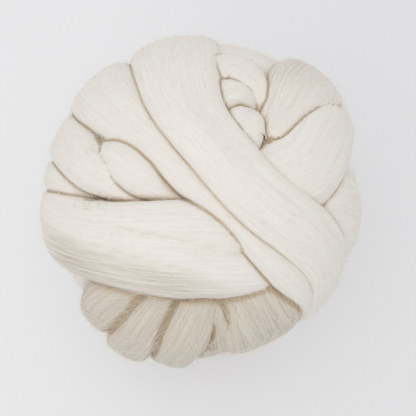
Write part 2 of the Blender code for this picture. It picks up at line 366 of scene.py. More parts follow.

# Pockets: hollows beside the twisted passes, where shade is painted on the wool in the creases'
# colours, each at a place from the core's centre and with a tangle of so many crimped fibres in
# it. The tangle is laid from the direction that it faces, turned by so many degrees.
Pocket = namedtuple("Pocket", "place reach faces turn count")
POCKETS = (
    Pocket((-44.0, 4.0, 48.0), (5.0, 5.5, 7.0), (-10, 60), -60, 60),
    Pocket((-46.0, -21.5, 41.5), (8.0, 4.2, 6.0), (-10, 60), 0, 80),
)
POCKET_EDGE = 1.5
TANGLE_TONES = (0.75, 1.0)
TANGLE_CRIMP = (0.4, 1.6)
TANGLE_LENGTH = (2.0, 4.5)
TANGLE_TURN = 0.7
TANGLE_LIFT = (0.1, 0.6)
TANGLE_RADIUS = (0.04, 0.08)
TANGLE_POINTS = 30
TANGLE_SMOOTHING = 4
TANGLE_ABOVE = 20.0

# Looks of the wool, by kind: its colour, its streaks in metres, and the values of shut and
# touch between which painted shade turns it warm and then tan as in a crease
Look = namedtuple("Look", "colour streak_length streak_width streak_strength"
                          " warm_from warm_to crease_from crease_to")
LOOKS = {
    "plain": Look("wool_colour", 0.035, 0.0010, 0.16, 0.04, 0.34, 0.81, 1.06),
    "low": Look("low_coarse_shaded_colour", 0.020, 0.0011, 0.8, 0.04, 0.30, 0.30, 0.95),
}
# A painted crease shade also needs the wool to be shut in by this much. Coarse wool takes on the
# low wool's colour, which is darker partly as painted shade, by a share, and its streaks are
# stronger.
DEEP_FROM_TO = (0.015, 0.10)
COARSE_SHARE = 0.5
COARSE_STREAKS = 4.0
WOOL_ROUGHNESS = 0.95
WOOL_SPECULAR = 0.2
SHEEN_ROUGHNESS = 0.45
SHEEN_TINT = (1.0, 0.97, 0.93, 1.0)
NOISE_ROUGHNESS = 0.6
NOISE_DISTORTION = 0.2
STREAK_DETAIL = 3.0
HAIR_DETAIL = 2.0
STREAK_HEIGHT = 0.0005
HAIR_HEIGHT = 0.00022
STREAK_SHARE = 0.65
STREAK_LIGHT = 0.62
STREAK_DARK = 0.34

# Every random draw starts from here
SEED = 20

# The core's subdivisions, its folds (degrees round, folds from bottom to top, depth), and how
# much painted crease shade it takes
CORE_SUBDIVISIONS = 5
CORE_FOLDS = (30.0, 7.0, 1.6)
CORE_TOUCH = 0.5

# The stage
FLOOR_SIZE = 30.0
FLOOR_ROUGHNESS = 0.8
FLOOR_SPECULAR = 0.3
# The floor glows with its own colour as painted light, and fades darker to the right as painted shadow
FLOOR_GLOW = 0.99
FLOOR_FADE = 0.11
SKY_COLOUR = (0.985, 0.985, 1.0, 1.0)
OVERHEAD_SIZE = 1.2
OVERHEAD_PLACE = (-0.2, -0.40, 1.1)
OVERHEAD_COLOUR = (1.0, 0.985, 0.96)
FRAMING_MIDDLE = (0.0, 0.0, 58.0)
FRAMING_SHIFT = (3.28, -3.75)
CLIP_START = 0.01

# The passes that others mostly cover, and the passes whose loose fibres make one piece
HIDDEN_NAMES = [rope.name for rope in UNDER_PASSES]
HIDDEN_NAMES += [f"upright_{number}" for number in range(1, len(UPRIGHT_LONGITUDES) + 1)]
FIBRE_GROUPS = {
    "fibres_under": HIDDEN_NAMES,
    "fibres_lower": ["lower_right", "lower_curl", "lower_front_left", "lower_left",
                     "lower_front_loop"],
    "fibres_inner": ["inner_arc", "inner_fold", "inner_loop", "upper_fan", "right_side",
                     "right_wrap"],
    "fibres_twist": ["twist_low", "twist_mid", "twist_high", "front_crescent"],
    "fibres_diagonal": ["left_diagonal", "main_diagonal"],
}


def directions(lon, lat):
    """Unit vectors from the core's centre for arrays of degrees."""
    lon = np.radians(lon)
    lat = np.radians(lat)
    return np.stack([np.sin(lon) * np.cos(lat), -np.cos(lon) * np.cos(lat), np.sin(lat)], axis=-1)


def unit(vectors):
    """The vectors at length 1."""
    return vectors / np.maximum(np.linalg.norm(vectors, axis=-1, keepdims=True), TINY)


def smooth_curve(rows, at):
    """Catmull-Rom curve through the rows, read at parameters from 0 to len(rows) - 1."""
    padded = np.vstack([2 * rows[0] - rows[1], rows, 2 * rows[-1] - rows[-2]])
    first = np.clip(at.astype(int), 0, len(rows) - 2)
    f = (at - first)[:, None]
    a, b, c, d = (padded[first + k] for k in range(4))
    cubic = 3 * b - a - 3 * c + d
    square = 2 * a - 5 * b + 4 * c - d
    return 0.5 * (2 * b + (c - a) * f + square * f ** 2 + cubic * f ** 3)


def mesh_steps(rope):
    """How closely a pass is divided along and across: less where others cover it."""
    return HIDDEN_MESH if rope.name in HIDDEN_NAMES else SHOWN_MESH


def centre_line(rope):
    """Evenly spaced stations along a pass: distance, centre, normal, side and width."""
    rows = len(rope.lon)
    at = np.linspace(0, rows - 1, CURVE_SAMPLES * (rows - 1))
    away = unit(smooth_curve(directions(rope.lon, rope.lat), at))
    sizes = smooth_curve(np.array([rope.lift, rope.width], float).T, at)
    on_core = away / np.sqrt(((away / CORE_RADII) ** 2).sum(axis=1))[:, None]
    normal = unit(on_core / CORE_RADII ** 2)
    centre = on_core + normal * sizes[:, :1]
    run = np.concatenate([[0], np.cumsum(np.linalg.norm(np.diff(centre, axis=0), axis=1))])
    along = np.linspace(0, run[-1], round(run[-1] / mesh_steps(rope).station) + 1)
    table = np.hstack([centre, normal, sizes[:, 1:]])
    table = np.stack([np.interp(along, run, column) for column in table.T], axis=1)
    centre, normal, width = table[:, :3], table[:, 3:6], table[:, 6]
    tangent = unit(np.gradient(centre, axis=0))
    normal = unit(normal - tangent * (normal * tangent).sum(axis=1)[:, None])
    return along, centre, normal, np.cross(tangent, normal), width


def rounded_section(rope):
    """The pass's unit section: across, height, outward, girth so far and columns on top."""
    columns = round(max(rope.width) * GIRTH_FOR_WIDTH / mesh_steps(rope).column)
    columns = max(FEWEST_COLUMNS, columns)
    turn = np.concatenate([np.linspace(0, math.pi, columns, endpoint=False),
                           np.linspace(math.pi, 2 * math.pi, UNDER_COLUMNS, endpoint=False)])
    across = np.sign(np.cos(turn)) * np.abs(np.cos(turn)) ** SECTION_POWER
    height = np.sign(np.sin(turn)) * np.abs(np.sin(turn)) ** SECTION_POWER
    height = np.where(height < 0, height * UNDERSIDE, height)
    x = across * NOMINAL_HALF[0]
    y = height * NOMINAL_HALF[1]
    out = unit(np.stack([np.roll(y, -1) - np.roll(y, 1), np.roll(x, 1) - np.roll(x, -1)], axis=1))
    out = out * np.sign((out * np.stack([x, y], axis=1)).sum(axis=1) + TINY)[:, None]
    step = np.hypot(np.diff(x), np.diff(y))
    girth = np.concatenate([[0], np.cumsum(step)])
    return across, height, out, girth, columns


def lattice(u, v, seed):
    """Smooth noise from -1 to 1 at (u, v), one value for each unit square."""
    rows, columns = LATTICE_SHAPE
    table = np.random.default_rng(seed).uniform(-1, 1, LATTICE_SHAPE)
    i, j = np.floor(u).astype(int), np.floor(v).astype(int)
    f, g = u - i, v - j
    f, g = f * f * (3 - 2 * f), g * g * (3 - 2 * g)
    i, next_i, j, next_j = i % rows, (i + 1) % rows, j % columns, (j + 1) % columns
    low = table[i, j] * (1 - f) + table[next_i, j] * f
    high = table[i, next_j] * (1 - f) + table[next_i, next_j] * f
    return low * (1 - g) + high * g


def fold_height(finish, u, v, seed):
    """How far the wool stands out at u along and v across: soft bundles and fine fold lines."""
    length, breadth, amount = MEANDER
    v = v + finish.swirl * u + amount * lattice(u / length, v / breadth, seed + 5)
    total = np.zeros(np.broadcast(u, v).shape)
    for number, (length, breadth, height) in enumerate(FOLD_WAVES):
        total += height * lattice(u / length, v / breadth, seed + 11 * number)
    length, breadth, depth, sharpness = FOLD_LINE
    wave = lattice(u / length, v / breadth, seed + 7)
    total -= depth * np.exp(-(wave / sharpness) ** 2)
    return total * finish.folds


def groove_depth(rope, part, place):
    """How deep the table's grooves press in, at each part along and place across a pass."""
    depth = np.zeros(np.broadcast(part, place).shape)
    for groove in GROOVES:
        if groove.rope != rope.name:
            continue
        t = (part - groove.start) / (groove.end - groove.start)
        bow = groove.place_start + (groove.place_end - groove.place_start) * t
        half = groove.width / np.max(rope.width)
        fade = np.clip(np.minimum(t, 1 - t) / GROOVE_FADE, 0, 1)
        beyond = place - bow
        if groove.rope in TUCKED_EDGES:
            beyond = np.maximum(beyond, 0)
        depth += groove.depth * fade * np.exp(-(beyond / half) ** 2)
    return depth


def coarse_share(rope, part, place):
    """How coarse the wool is, from 0 to 1, at each part along and place across a pass."""
    share = np.zeros(np.broadcast(part, place).shape)
    for band in COARSE_BANDS:
        if band.rope == rope.name:
            t = (part - band.start) / (band.end - band.start)
            edge = band.place_start + (band.place_end - band.place_start) * t
            inside = np.clip((place - edge) / band.blend, 0, 1)
            fade = np.clip(np.minimum(t, 1 - t) / BAND_FADE, 0, 1)
            share = np.maximum(share, inside * fade)
    return share


Laid = namedtuple("Laid", "rope finish points normals along across columns part place")


def lay_rope(rope, seed):
    """Lay a pass: the grid of its surface points, with their normals and map places."""
    finish = FINISHES.get(rope.name, PLAIN)
    along, centre, normal, side, width = centre_line(rope)
    across, height, out, girth, columns = rounded_section(rope)
    near_end = np.clip(np.minimum(along, along[-1] - along) / END_TAPER, 0, 1)
    taper = END_SCALE + (1 - END_SCALE) * np.sin(near_end * math.pi / 2)
    wander = 1 + EDGE_WANDER[1] * lattice(along / EDGE_WANDER[0], 0 * along, seed + 3)
    half_width = width * taper * wander / 2
    half_height = rope.thickness * np.minimum(1, width / FULL_WIDTH) * taper / 2
    u = along[:, None] + 0 * girth
    v = girth + 0 * u
    part = u / along[-1]
    place = across + 0 * u
    relief = fold_height(finish, u, v, seed) - groove_depth(rope, part, place)
    share = np.clip(half_width / FULL_RELIEF_WIDTH, LEAST_RELIEF, 1)[:, None]
    relief = relief * np.clip(out[:, 1], 0, 1) ** 0.5 * share
    flat_x = half_width[:, None] * across + relief * out[:, 0]
    flat_y = half_height[:, None] * height + relief * out[:, 1]
    radius = WRAP_RADIUS * np.linalg.norm(centre, axis=1)[:, None]
    bend = flat_x / radius
    reach = radius + flat_y
    points = (CORE_CENTRE + centre[:, None, :]
              + side[:, None, :] * (reach * np.sin(bend))[:, :, None]
              + normal[:, None, :] * (reach * np.cos(bend) - radius)[:, :, None])
    points[:, :, 2] = FLOOR_SOFTNESS * np.logaddexp(0, points[:, :, 2] / FLOOR_SOFTNESS)
    return Laid(rope, finish, points, grid_normals(points), along, girth, columns, part, place)


def grid_normals(points):
    """The outward normals of a tube of points."""
    down_rope = np.gradient(points, axis=0)
    round_rope = np.roll(points, -1, axis=1) - np.roll(points, 1, axis=1)
    normals = unit(np.cross(round_rope, down_rope))
    middle = points.mean(axis=1, keepdims=True)
    return normals * np.sign(((points - middle) * normals).sum())


def press_in(laid, touch):
    """The pass, pressed in along each line where it meets another, so that a furrow runs there."""
    near = np.clip(1 - np.abs(touch - 1) * TOUCH_REACH / PRESS_REACH, 0, 1)
    depth = PRESS_DEPTH * laid.finish.folds ** 2 * near ** 2
    points = laid.points - laid.normals * depth[:, :, None]
    points[:, :, 2] = np.maximum(points[:, :, 2], laid.points[:, :, 2].clip(0, FIBRE_CLEARANCE))
    return laid._replace(points=points, normals=grid_normals(points))


def add_object(name, data):
    """An object with that data, in the scene."""
    item = bpy.data.objects.new(name, data)
    bpy.context.scene.collection.objects.link(item)
    return item


def mesh_object(name, points, quads, fans=(), smooth=True):
    """A mesh object of points in millimetres, quads and a few larger faces."""
    mesh = bpy.data.meshes.new(name)
    mesh.from_pydata((points * MM).tolist(), [], [*quads.tolist(), *fans])
    mesh.update()
    if smooth:
        mesh.shade_smooth()
    return add_object(name, mesh)


def write_map(mesh, name, values):
    """Give the mesh a UV map of that name, from one pair of values for each face corner."""
    layer = mesh.uv_layers.new(name=name, do_init=False)
    layer.uv.foreach_set("vector", np.ascontiguousarray(values, np.float32).ravel())


def loft_object(laid):
    """The mesh of a laid pass, closed at both ends, with its rope map and its bake map."""
    rows, columns = laid.points.shape[:2]
    quads = grid_faces(rows, columns)
    first = list(range(columns))
    last = list(range(rows * columns - 1, (rows - 1) * columns - 1, -1))
    item = mesh_object("pass_" + laid.rope.name, laid.points.reshape(-1, 3), quads, [first, last])
    girth = np.append(laid.across, 2 * laid.across[-1] - laid.across[-2])
    i, j = np.divmod(np.arange((rows - 1) * columns), columns)
    corner_row = np.stack([i, i + 1, i + 1, i], axis=-1).reshape(-1)
    corner_column = np.stack([j, j, j + 1, j + 1], axis=-1).reshape(-1)
    ends = np.zeros((2 * columns, 2))
    rope_places = np.stack([laid.along[corner_row], girth[corner_column]], axis=1) * MM
    bake_places = np.stack([corner_row / (rows - 1), corner_column / columns], axis=1)
    bake_places = BAKE_EDGE + (1 - 2 * BAKE_EDGE) * bake_places
    bake_ends = np.random.default_rng(1).uniform(0, BAKE_EDGE, (2 * columns, 2)) + BAKE_EDGE / 2
    write_map(item.data, ROPE_MAP, np.vstack([rope_places, ends]))
    write_map(item.data, BAKE_MAP, np.vstack([bake_places, bake_ends]))
    return item


def grid_faces(rows, columns):
    """The quads of a tube of points: rows along it and columns round it."""
    i, j = np.meshgrid(np.arange(rows - 1), np.arange(columns), indexing="ij")
    after = (j + 1) % columns
    return np.stack([i * columns + j, (i + 1) * columns + j,
                     (i + 1) * columns + after, i * columns + after], axis=-1).reshape(-1, 4)


def core_object():
    """The heart of the ball: a lump of folded wool under all the passes."""
    mesh = bpy.data.meshes.new("core")
    lump = bmesh.new()
    bmesh.ops.create_icosphere(lump, subdivisions=CORE_SUBDIVISIONS, radius=1)
    for vertex in lump.verts:
        way = np.array(vertex.co)
        turn = math.degrees(math.atan2(way[0], -way[1]))
        place = np.array(turn / CORE_FOLDS[0]), np.array(way[2] * CORE_FOLDS[1])
        reach = CORE_RADII - CORE_INSET + CORE_FOLDS[2] * float(lattice(*place, SEED))
        vertex.co = Vector((CORE_CENTRE + way * reach) * MM)
    lump.to_mesh(mesh)
    lump.free()
    mesh.shade_smooth()
    # The core counts as fully shut in and half touching, so that painted shade darkens it
    write_grid(mesh, TOUCH, np.full(len(mesh.vertices), CORE_TOUCH))
    write_grid(mesh, SHUT, np.ones(len(mesh.vertices)))
    return add_object("core", mesh)


def ray_directions(count):
    """Directions spread over the half ball round +Z, more of them near the pole."""
    number = np.arange(count) + 0.5
    rise = np.sqrt(1 - number / count * RAY_SPREAD)
    turn = number * math.pi * (3 - math.sqrt(5))
    reach = np.sqrt(1 - rise ** 2)
    return np.stack([reach * np.cos(turn), reach * np.sin(turn), rise], axis=1)


def shut_in(tree, places, normals):
    """From 0, open, to 1, closed: how near other wool is round each place, and 1 if it is buried."""
    rays = ray_directions(SHUT_RAYS)
    found = np.zeros(len(places))
    blocked = np.zeros(len(places), int)
    helper = np.where(np.abs(normals[:, 2:]) < ALMOST_UPRIGHT, [[0.0, 0.0, 1.0]], [[1.0, 0.0, 0.0]])
    first = unit(np.cross(normals, helper))
    second = np.cross(normals, first)
    starts = places + normals * SHUT_START * MM
    reach = SHUT_REACH * MM
    for ray in rays:
        ways = first * ray[0] + second * ray[1] + normals * ray[2]
        for k, (start, way) in enumerate(zip(starts, ways)):
            hit = tree.ray_cast(start, way)
            if hit[0] is not None:
                found[k] += max(0, 1 - hit[3] / reach)
                blocked[k] += 1
    return np.where(blocked == len(rays), 1.0, found / len(rays))


def shut_grid(laid, tree):
    """How shut in every point of a laid pass is, from samples on some of its columns."""
    picked = np.unique(np.append(np.arange(0, laid.columns, SHUT_EVERY), laid.columns - 1))
    places = laid.points[:, picked].reshape(-1, 3) * MM
    normals = laid.normals[:, picked].reshape(-1, 3)
    found = shut_in(tree, places, normals).reshape(-1, len(picked))
    buried = found == 1
    # Buried points next to open ones take their value, so that no step shows where passes meet
    for _ in range(SHUT_FILLS):
        around = np.pad(np.where(buried, 0, found), 1)
        beside = np.max([around[:-2, 1:-1], around[2:, 1:-1], around[1:-1, :-2], around[1:-1, 2:]],
                        axis=0)
        filled = buried & (beside > 0)
        found = np.where(filled, beside, found)
        buried &= ~filled
    grid = np.ones(laid.points.shape[:2])
    top = np.arange(laid.columns)
    grid[:, :laid.columns] = np.stack([np.interp(top, picked, row) for row in found])
    return grid


def touch_grid(laid, others):
    """How near the other passes are: 0 from the reach on, 1 where they touch, more inside them."""
    top = laid.points[:, :laid.columns].reshape(-1, 3)
    gap = np.full(len(top), TOUCH_REACH)
    for points, tree, slack in others:
        low, high = points.min(axis=0) - TOUCH_REACH, points.max(axis=0) + TOUCH_REACH
        near = np.nonzero(((top > low) & (top < high)).all(axis=1))[0]
        for k, place in zip(near, map(Vector, (top[near] * MM).tolist())):
            found, normal, _, distance = tree.find_nearest(place, TOUCH_REACH * MM)
            if found is not None:
                outside = 1 if (place - found).dot(normal) > 0 else -1
                gap[k] = min(gap[k], outside * distance / MM + slack)
    grid = np.zeros(laid.points.shape[:2])
    grid[:, :laid.columns] = 1 - gap.reshape(-1, laid.columns) / TOUCH_REACH
    return grid


def pocket_shade(points):
    """How far into a pocket each point is, from 0 outside them all to 1, for the shade painted there.
    """
    share = np.zeros(points.shape[:2])
    for pocket in POCKETS:
        away = np.linalg.norm((points - CORE_CENTRE - pocket.place) / pocket.reach, axis=2)
        share = np.maximum(share, np.clip(POCKET_EDGE - away, 0, 1))
    return share


def write_grid(mesh, name, grid):
    """Store a value for each point, for the material to read."""
    attribute = mesh.attributes.new(name, "FLOAT", "POINT")
    attribute.data.foreach_set("value", np.ascontiguousarray(grid.ravel(), np.float32))


def bilinear(grid, row, column):
    """The grid's values at fractional rows and columns."""
    row = np.clip(row, 0, grid.shape[0] - 1.001)
    column = np.clip(column, 0, grid.shape[1] - 1.001)
    i, j = row.astype(int), column.astype(int)
    f, g = row - i, column - j
    if grid.ndim == 3:
        f, g = f[..., None], g[..., None]
    return ((grid[i, j] * (1 - f) + grid[i + 1, j] * f) * (1 - g)
            + (grid[i, j + 1] * (1 - f) + grid[i + 1, j + 1] * f) * g)


def open_places(laid, grid, rng, per_square):
    """Rows and columns of random points where a pass shows, so many for each cm2 of it."""
    top = laid.points[:, :laid.columns]
    area = np.linalg.norm(np.cross(np.gradient(top, axis=0), np.gradient(top, axis=1)), axis=2)
    shown = (area * (grid[:, :laid.columns] < SHUT_TOO_FAR)).reshape(-1)
    count = int(shown.sum() / MM2_IN_CM2 * per_square)
    if count == 0:
        return np.zeros(0, int), np.zeros(0, int)
    return np.divmod(rng.choice(shown.size, count, p=shown / shown.sum()), laid.columns)


def fibre_lines(laid, grid, rng, loose):
    """Lines of points in millimetres for the fibres on one pass, and how shut in each is."""
    top = laid.points[:, :laid.columns]
    row, column = open_places(laid, grid, rng, laid.finish.hairs * loose)
    count = len(row)
    length = rng.uniform(*FIBRE_LENGTH, count)
    angle = rng.normal(0, laid.finish.stray, count) - math.atan(laid.finish.swirl)
    bend = rng.normal(0, FIBRE_BEND, count)
    lowest, highest = FIBRE_LIFT
    lift = lowest + (highest - lowest) * rng.uniform(0, 1, count) ** 4
    phase = rng.uniform(0, 2 * math.pi, count)
    t = np.linspace(0, 1, FIBRE_POINTS)
    s = (t - 0.5) * length[:, None]
    turned = angle[:, None] + bend[:, None] * (t - 0.5)
    wave = FIBRE_CRIMP[0] * np.sin(2 * math.pi * s / FIBRE_CRIMP[1] + phase[:, None])
    ahead = s * np.cos(turned)
    aside = s * np.sin(turned) + wave
    rows = row[:, None] + ahead / (laid.along[1] - laid.along[0])
    spread = np.linalg.norm(np.diff(top, axis=1), axis=2).mean(axis=1)
    columns = column[:, None] + rng.uniform(-0.5, 0.5, (count, 1)) + aside / spread[row][:, None]
    inside = ((rows > 0) & (rows < top.shape[0] - 1) & (columns > 0)
              & (columns < laid.columns - 1)).all(axis=1)
    rows, columns, lift = rows[inside], columns[inside], lift[inside]
    arch = FIBRE_MIDDLE + (1 - FIBRE_MIDDLE) * (2 * np.abs(t - 0.5)) ** FIBRE_ARCH
    height = lift[:, None] * arch - FIBRE_SINK
    outward = bilinear(laid.normals, rows, columns) * height[:, :, None]
    places = bilinear(laid.points, rows, columns) + outward
    return above_floor(places), bilinear(grid, rows, columns)


def fuzz_lines(laid, grid, rng, loose):
    """Lines for the short hairs that stand out from one pass, and how shut in each is."""
    row, column = open_places(laid, grid, rng, FUZZ_HAIRS * loose)
    count = len(row)
    lean = rng.uniform(-FUZZ_LEAN, FUZZ_LEAN, (count, 3))
    curl = rng.uniform(-FUZZ_CURL, FUZZ_CURL, (count, 3))
    shortest, longest = FUZZ_LENGTH
    length = shortest + (longest - shortest) * rng.uniform(0, 1, (count, 1, 1)) ** 2
    t = np.linspace(0, 1, FUZZ_POINTS)[None, :, None]
    way = unit(laid.normals[row, column] + lean)[:, None]
    places = laid.points[row, column][:, None] + length * (t * way + t ** 2 * curl[:, None])
    places -= laid.normals[row, column][:, None] * FIBRE_SINK
    return above_floor(places), np.repeat(grid[row, column][:, None], FUZZ_POINTS, axis=1)


def tangle_lines(pocket, tree, rng):
    """Lines for crimped fibres tangled in a pocket, laid over whatever is under them."""
    out = directions(*pocket.faces)
    side = unit(np.cross([0.0, 0.0, 1.0], out))
    turn = math.radians(pocket.turn)
    ahead = side * math.cos(turn) + np.cross(out, side) * math.sin(turn)
    across = np.cross(out, ahead)
    spot = rng.uniform(-1, 1, (pocket.count, 2)) * pocket.reach[:2]
    heading = rng.normal(0, TANGLE_TURN, (pocket.count, 1))
    phase = rng.uniform(0, 2 * math.pi, (pocket.count, 1))
    run = rng.uniform(*TANGLE_LENGTH, (pocket.count, 1)) * np.linspace(-0.5, 0.5, TANGLE_POINTS)
    wave = TANGLE_CRIMP[0] * np.sin(2 * math.pi * run / TANGLE_CRIMP[1] + phase)
    x = spot[:, :1] + run * np.cos(heading) - wave * np.sin(heading)
    y = spot[:, 1:] + run * np.sin(heading) + wave * np.cos(heading)
    flat = CORE_CENTRE + np.array(pocket.place) + x[:, :, None] * ahead + y[:, :, None] * across
    height = np.zeros(x.shape)
    for at in np.ndindex(height.shape):
        hit = tree.ray_cast(Vector((flat[at] + out * TANGLE_ABOVE) * MM), Vector(-out))
        height[at] = TANGLE_ABOVE - hit[3] / MM
    for _ in range(TANGLE_SMOOTHING):
        height[:, 1:-1] = (height[:, :-2] + 2 * height[:, 1:-1] + height[:, 2:]) / 4
    height += rng.uniform(*TANGLE_LIFT, (pocket.count, 1))
    tones = np.repeat(rng.uniform(*TANGLE_TONES, (pocket.count, 1)), TANGLE_POINTS, axis=1)
    return flat + height[:, :, None] * out, tones


def above_floor(places):
    """The places, with none of them under the floor."""
    return np.maximum(places, [-np.inf, -np.inf, FIBRE_CLEARANCE])


def tube_object(name, lines, tones, thickness, rng):
    """One mesh of thin closed tubes along the lines. Its bake map holds each point's tone, shade
    painted in.
    """
    count, steps = lines.shape[:2]
    tangent = unit(np.gradient(lines, axis=1))
    across = unit(np.cross(tangent, unit(rng.normal(0, 1, (count, 1, 3)))))
    upward = np.cross(tangent, across)
    thin = np.sin(np.linspace(TUBE_TIP, math.pi - TUBE_TIP, steps)) ** 0.5
    radius = rng.uniform(*thickness, (count, 1)) * thin
    turn = np.arange(FIBRE_SIDES) * 2 * math.pi / FIBRE_SIDES
    ring = (across[:, :, None] * np.cos(turn)[:, None] + upward[:, :, None] * np.sin(turn)[:, None])
    points = lines[:, :, None] + ring * radius[:, :, None, None]
    per = steps * FIBRE_SIDES
    base = np.arange(count)[:, None, None] * per
    i = np.arange(steps - 1)[None, :, None] * FIBRE_SIDES
    j = np.arange(FIBRE_SIDES)[None, None, :]
    after = (j + 1) % FIBRE_SIDES
    quads = np.stack([base + i + j, base + i + after,
                      base + i + FIBRE_SIDES + after, base + i + FIBRE_SIDES + j], axis=-1)
    quads = quads.reshape(-1, 4)
    start = base[:, 0] + np.arange(FIBRE_SIDES)[::-1]
    finish = base[:, 0] + per - FIBRE_SIDES + np.arange(FIBRE_SIDES)
    caps = np.stack([start, finish], axis=1).reshape(-1, 3)
    item = mesh_object(name, points.reshape(-1, 3), quads, caps.tolist(), smooth=False)
    tone = np.clip(np.repeat(tones.reshape(-1), FIBRE_SIDES), *TONE_RANGE)
    shift = np.tile((np.arange(FIBRE_SIDES) - 1) * TONE_SPREAD, count * steps)
    lengthwise = np.repeat(np.tile(np.linspace(*TUBE_ON_MAP, steps), count), FIBRE_SIDES)
    lengthwise = lengthwise + np.repeat(rng.uniform(0, TUBE_SHIFT, count), per)
    places = np.stack([tone + shift, lengthwise], axis=1)
    corners = np.concatenate([quads.reshape(-1), caps.reshape(-1)])
    write_map(item.data, BAKE_MAP, places[corners])
    return item


# The rope is laid once, and every operator takes its passes from there
Wound = namedtuple("Wound", "passes shut touch tree")


def all_passes():
    """Every pass in the order in which it was laid."""
    uprights = [UPRIGHT._replace(name=f"upright_{number}", lon=(lon,) * len(UPRIGHT.lon))
                for number, lon in enumerate(UPRIGHT_LONGITUDES, 1)]
    return [*UNDER_PASSES, *uprights, *OUTER_PASSES]


def search_tree(passes):
    """A tree of laid surfaces, for rays to be cast against."""
    points, faces, count = [], [], 0
    for laid in passes:
        rows, columns = laid.points.shape[:2]
        faces.extend((grid_faces(rows, columns) + count).tolist())
        points.append(laid.points.reshape(-1, 3) * MM)
        count += rows * columns
    return BVHTree.FromPolygons(np.vstack(points).tolist(), faces)


@cache
def wound_rope():
    """Every pass as laid, by name, and how shut in and how near the others each point is."""
    passes = {rope.name: lay_rope(rope, SEED + number) for number, rope in enumerate(all_passes())}
    alone = {name: (laid.points.reshape(-1, 3), search_tree([laid]))
             for name, laid in passes.items()}
    touch = {}
    for name, laid in passes.items():
        others = [(*alone[other], SOFT_SEAMS.get(frozenset({name, other}), 0))
                  for other in passes if other != name]
        touch[name] = touch_grid(laid, others)
    passes = {name: press_in(laid, touch[name]) for name, laid in passes.items()}
    tree = search_tree(passes.values())
    shut = {}
    for name, laid in passes.items():
        # Grooves and pockets count as shut in and touching, so that shade is painted in them too
        grooves = groove_depth(laid.rope, laid.part, laid.place)
        shut[name] = np.maximum(shut_grid(laid, tree), np.clip(grooves, 0, 1) * GROOVE_SHUT)
        crease_shade = np.maximum(np.clip(grooves / DEEP_GROOVE, 0, 1), pocket_shade(laid.points))
        touch[name] = np.maximum(touch[name], crease_shade)
    return Wound(passes, shut, touch, tree)


def declare(item, material):
    """Say that a piece rides on the ball's body, stands for its solid and wears its wool."""
    item.data.materials.append(material)
    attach(item, BODY)
    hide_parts(BALL)


def wind(names):
    """Make the pieces of the passes with those names."""
    wound = wound_rope()
    for name in names:
        laid = wound.passes[name]
        item = loft_object(laid)
        write_grid(item.data, COARSE, coarse_share(laid.rope, laid.part, laid.place))
        write_grid(item.data, TOUCH, wound.touch[name])
        write_grid(item.data, SHUT, wound.shut[name])
        declare(item, rope_wool(laid.finish.wool))


def lay_loose(name, lines_on, ropes, tone_range, thickness, seed):
    """One piece of the loose fibres that a function lays on the passes with those names."""
    rng = np.random.default_rng(seed)
    wound = wound_rope()
    loose = bpy.context.scene.roving_wool.loose_fibres
    found = [lines_on(wound.passes[rope], wound.shut[rope], rng, loose) for rope in ropes]
    lines, shut = (np.vstack(part) for part in zip(*found))
    # Painted shade: loose fibres and hairs are darker where the wool round them is shut in
    in_open, loss, least = SHUT_SHADE_TONE
    tones = rng.uniform(*tone_range, (len(lines), 1)) * np.clip(in_open - loss * shut, least, 1)
    declare(tube_object(name, lines, tones, thickness, rng), loose_wool())


def lay_tangles():
    """One piece of the tangled fibres in the pockets."""
    rng = np.random.default_rng(SEED)
    found = [tangle_lines(pocket, wound_rope().tree, rng) for pocket in POCKETS]
    lines, tones = (np.vstack(part) for part in zip(*found))
    declare(tube_object("tangles", lines, tones, TANGLE_RADIUS, rng), loose_wool())


# Materials
def new_group(name, inputs, outputs):
    """A shader node group: its inputs are (name, kind, default) and its outputs (name, kind)."""
    group = bpy.data.node_groups.new(name, "ShaderNodeTree")
    for label, kind, default in inputs:
        socket = group.interface.new_socket(label, in_out="INPUT", socket_type=kind)
        socket.default_value = default
    for label, kind in outputs:
        group.interface.new_socket(label, in_out="OUTPUT", socket_type=kind)
    return group, group.nodes.new("NodeGroupInput"), group.nodes.new("NodeGroupOutput")


def join(tree, socket, value):
    """Set a socket to a plain value, or link an output to it."""
    if isinstance(value, bpy.types.NodeSocket):
        tree.links.new(value, socket)
    else:
        socket.default_value = value


def math_node(tree, operation, *values):
    """A math node of those values or outputs; returns its output."""
    node = tree.nodes.new("ShaderNodeMath")
    node.operation = operation
    for socket, value in zip(node.inputs, values):
        join(tree, socket, value)
    return node.outputs[0]


def mix_colour(tree, factor, first, second):
    """A colour mix of those values or outputs; returns its output."""
    node = tree.nodes.new("ShaderNodeMix")
    node.data_type = "RGBA"
    colours = [socket for socket in node.inputs if socket.type == "RGBA"]
    join(tree, node.inputs["Factor"], factor)
    join(tree, colours[0], first)
    join(tree, colours[1], second)
    return next(socket for socket in node.outputs if socket.type == "RGBA")


def ramp(tree, value, low, high, smooth=False):
    """0 where the value is low and 1 where it is high; returns its output."""
    node = tree.nodes.new("ShaderNodeMapRange")
    if smooth:
        node.interpolation_type = "SMOOTHSTEP"
    join(tree, node.inputs["Value"], value)
    join(tree, node.inputs["From Min"], low)
    join(tree, node.inputs["From Max"], high)
    return node.outputs[0]


def map_place(tree, name):
    """The place on a UV map; returns its output."""
    node = tree.nodes.new("ShaderNodeUVMap")
    node.uv_map = name
    return node.outputs[0]


def stored_value(tree, name):
    """A value that the mesh stores at each point; returns its output."""
    node = tree.nodes.new("ShaderNodeAttribute")
    node.attribute_name = name
    return node.outputs["Fac"]


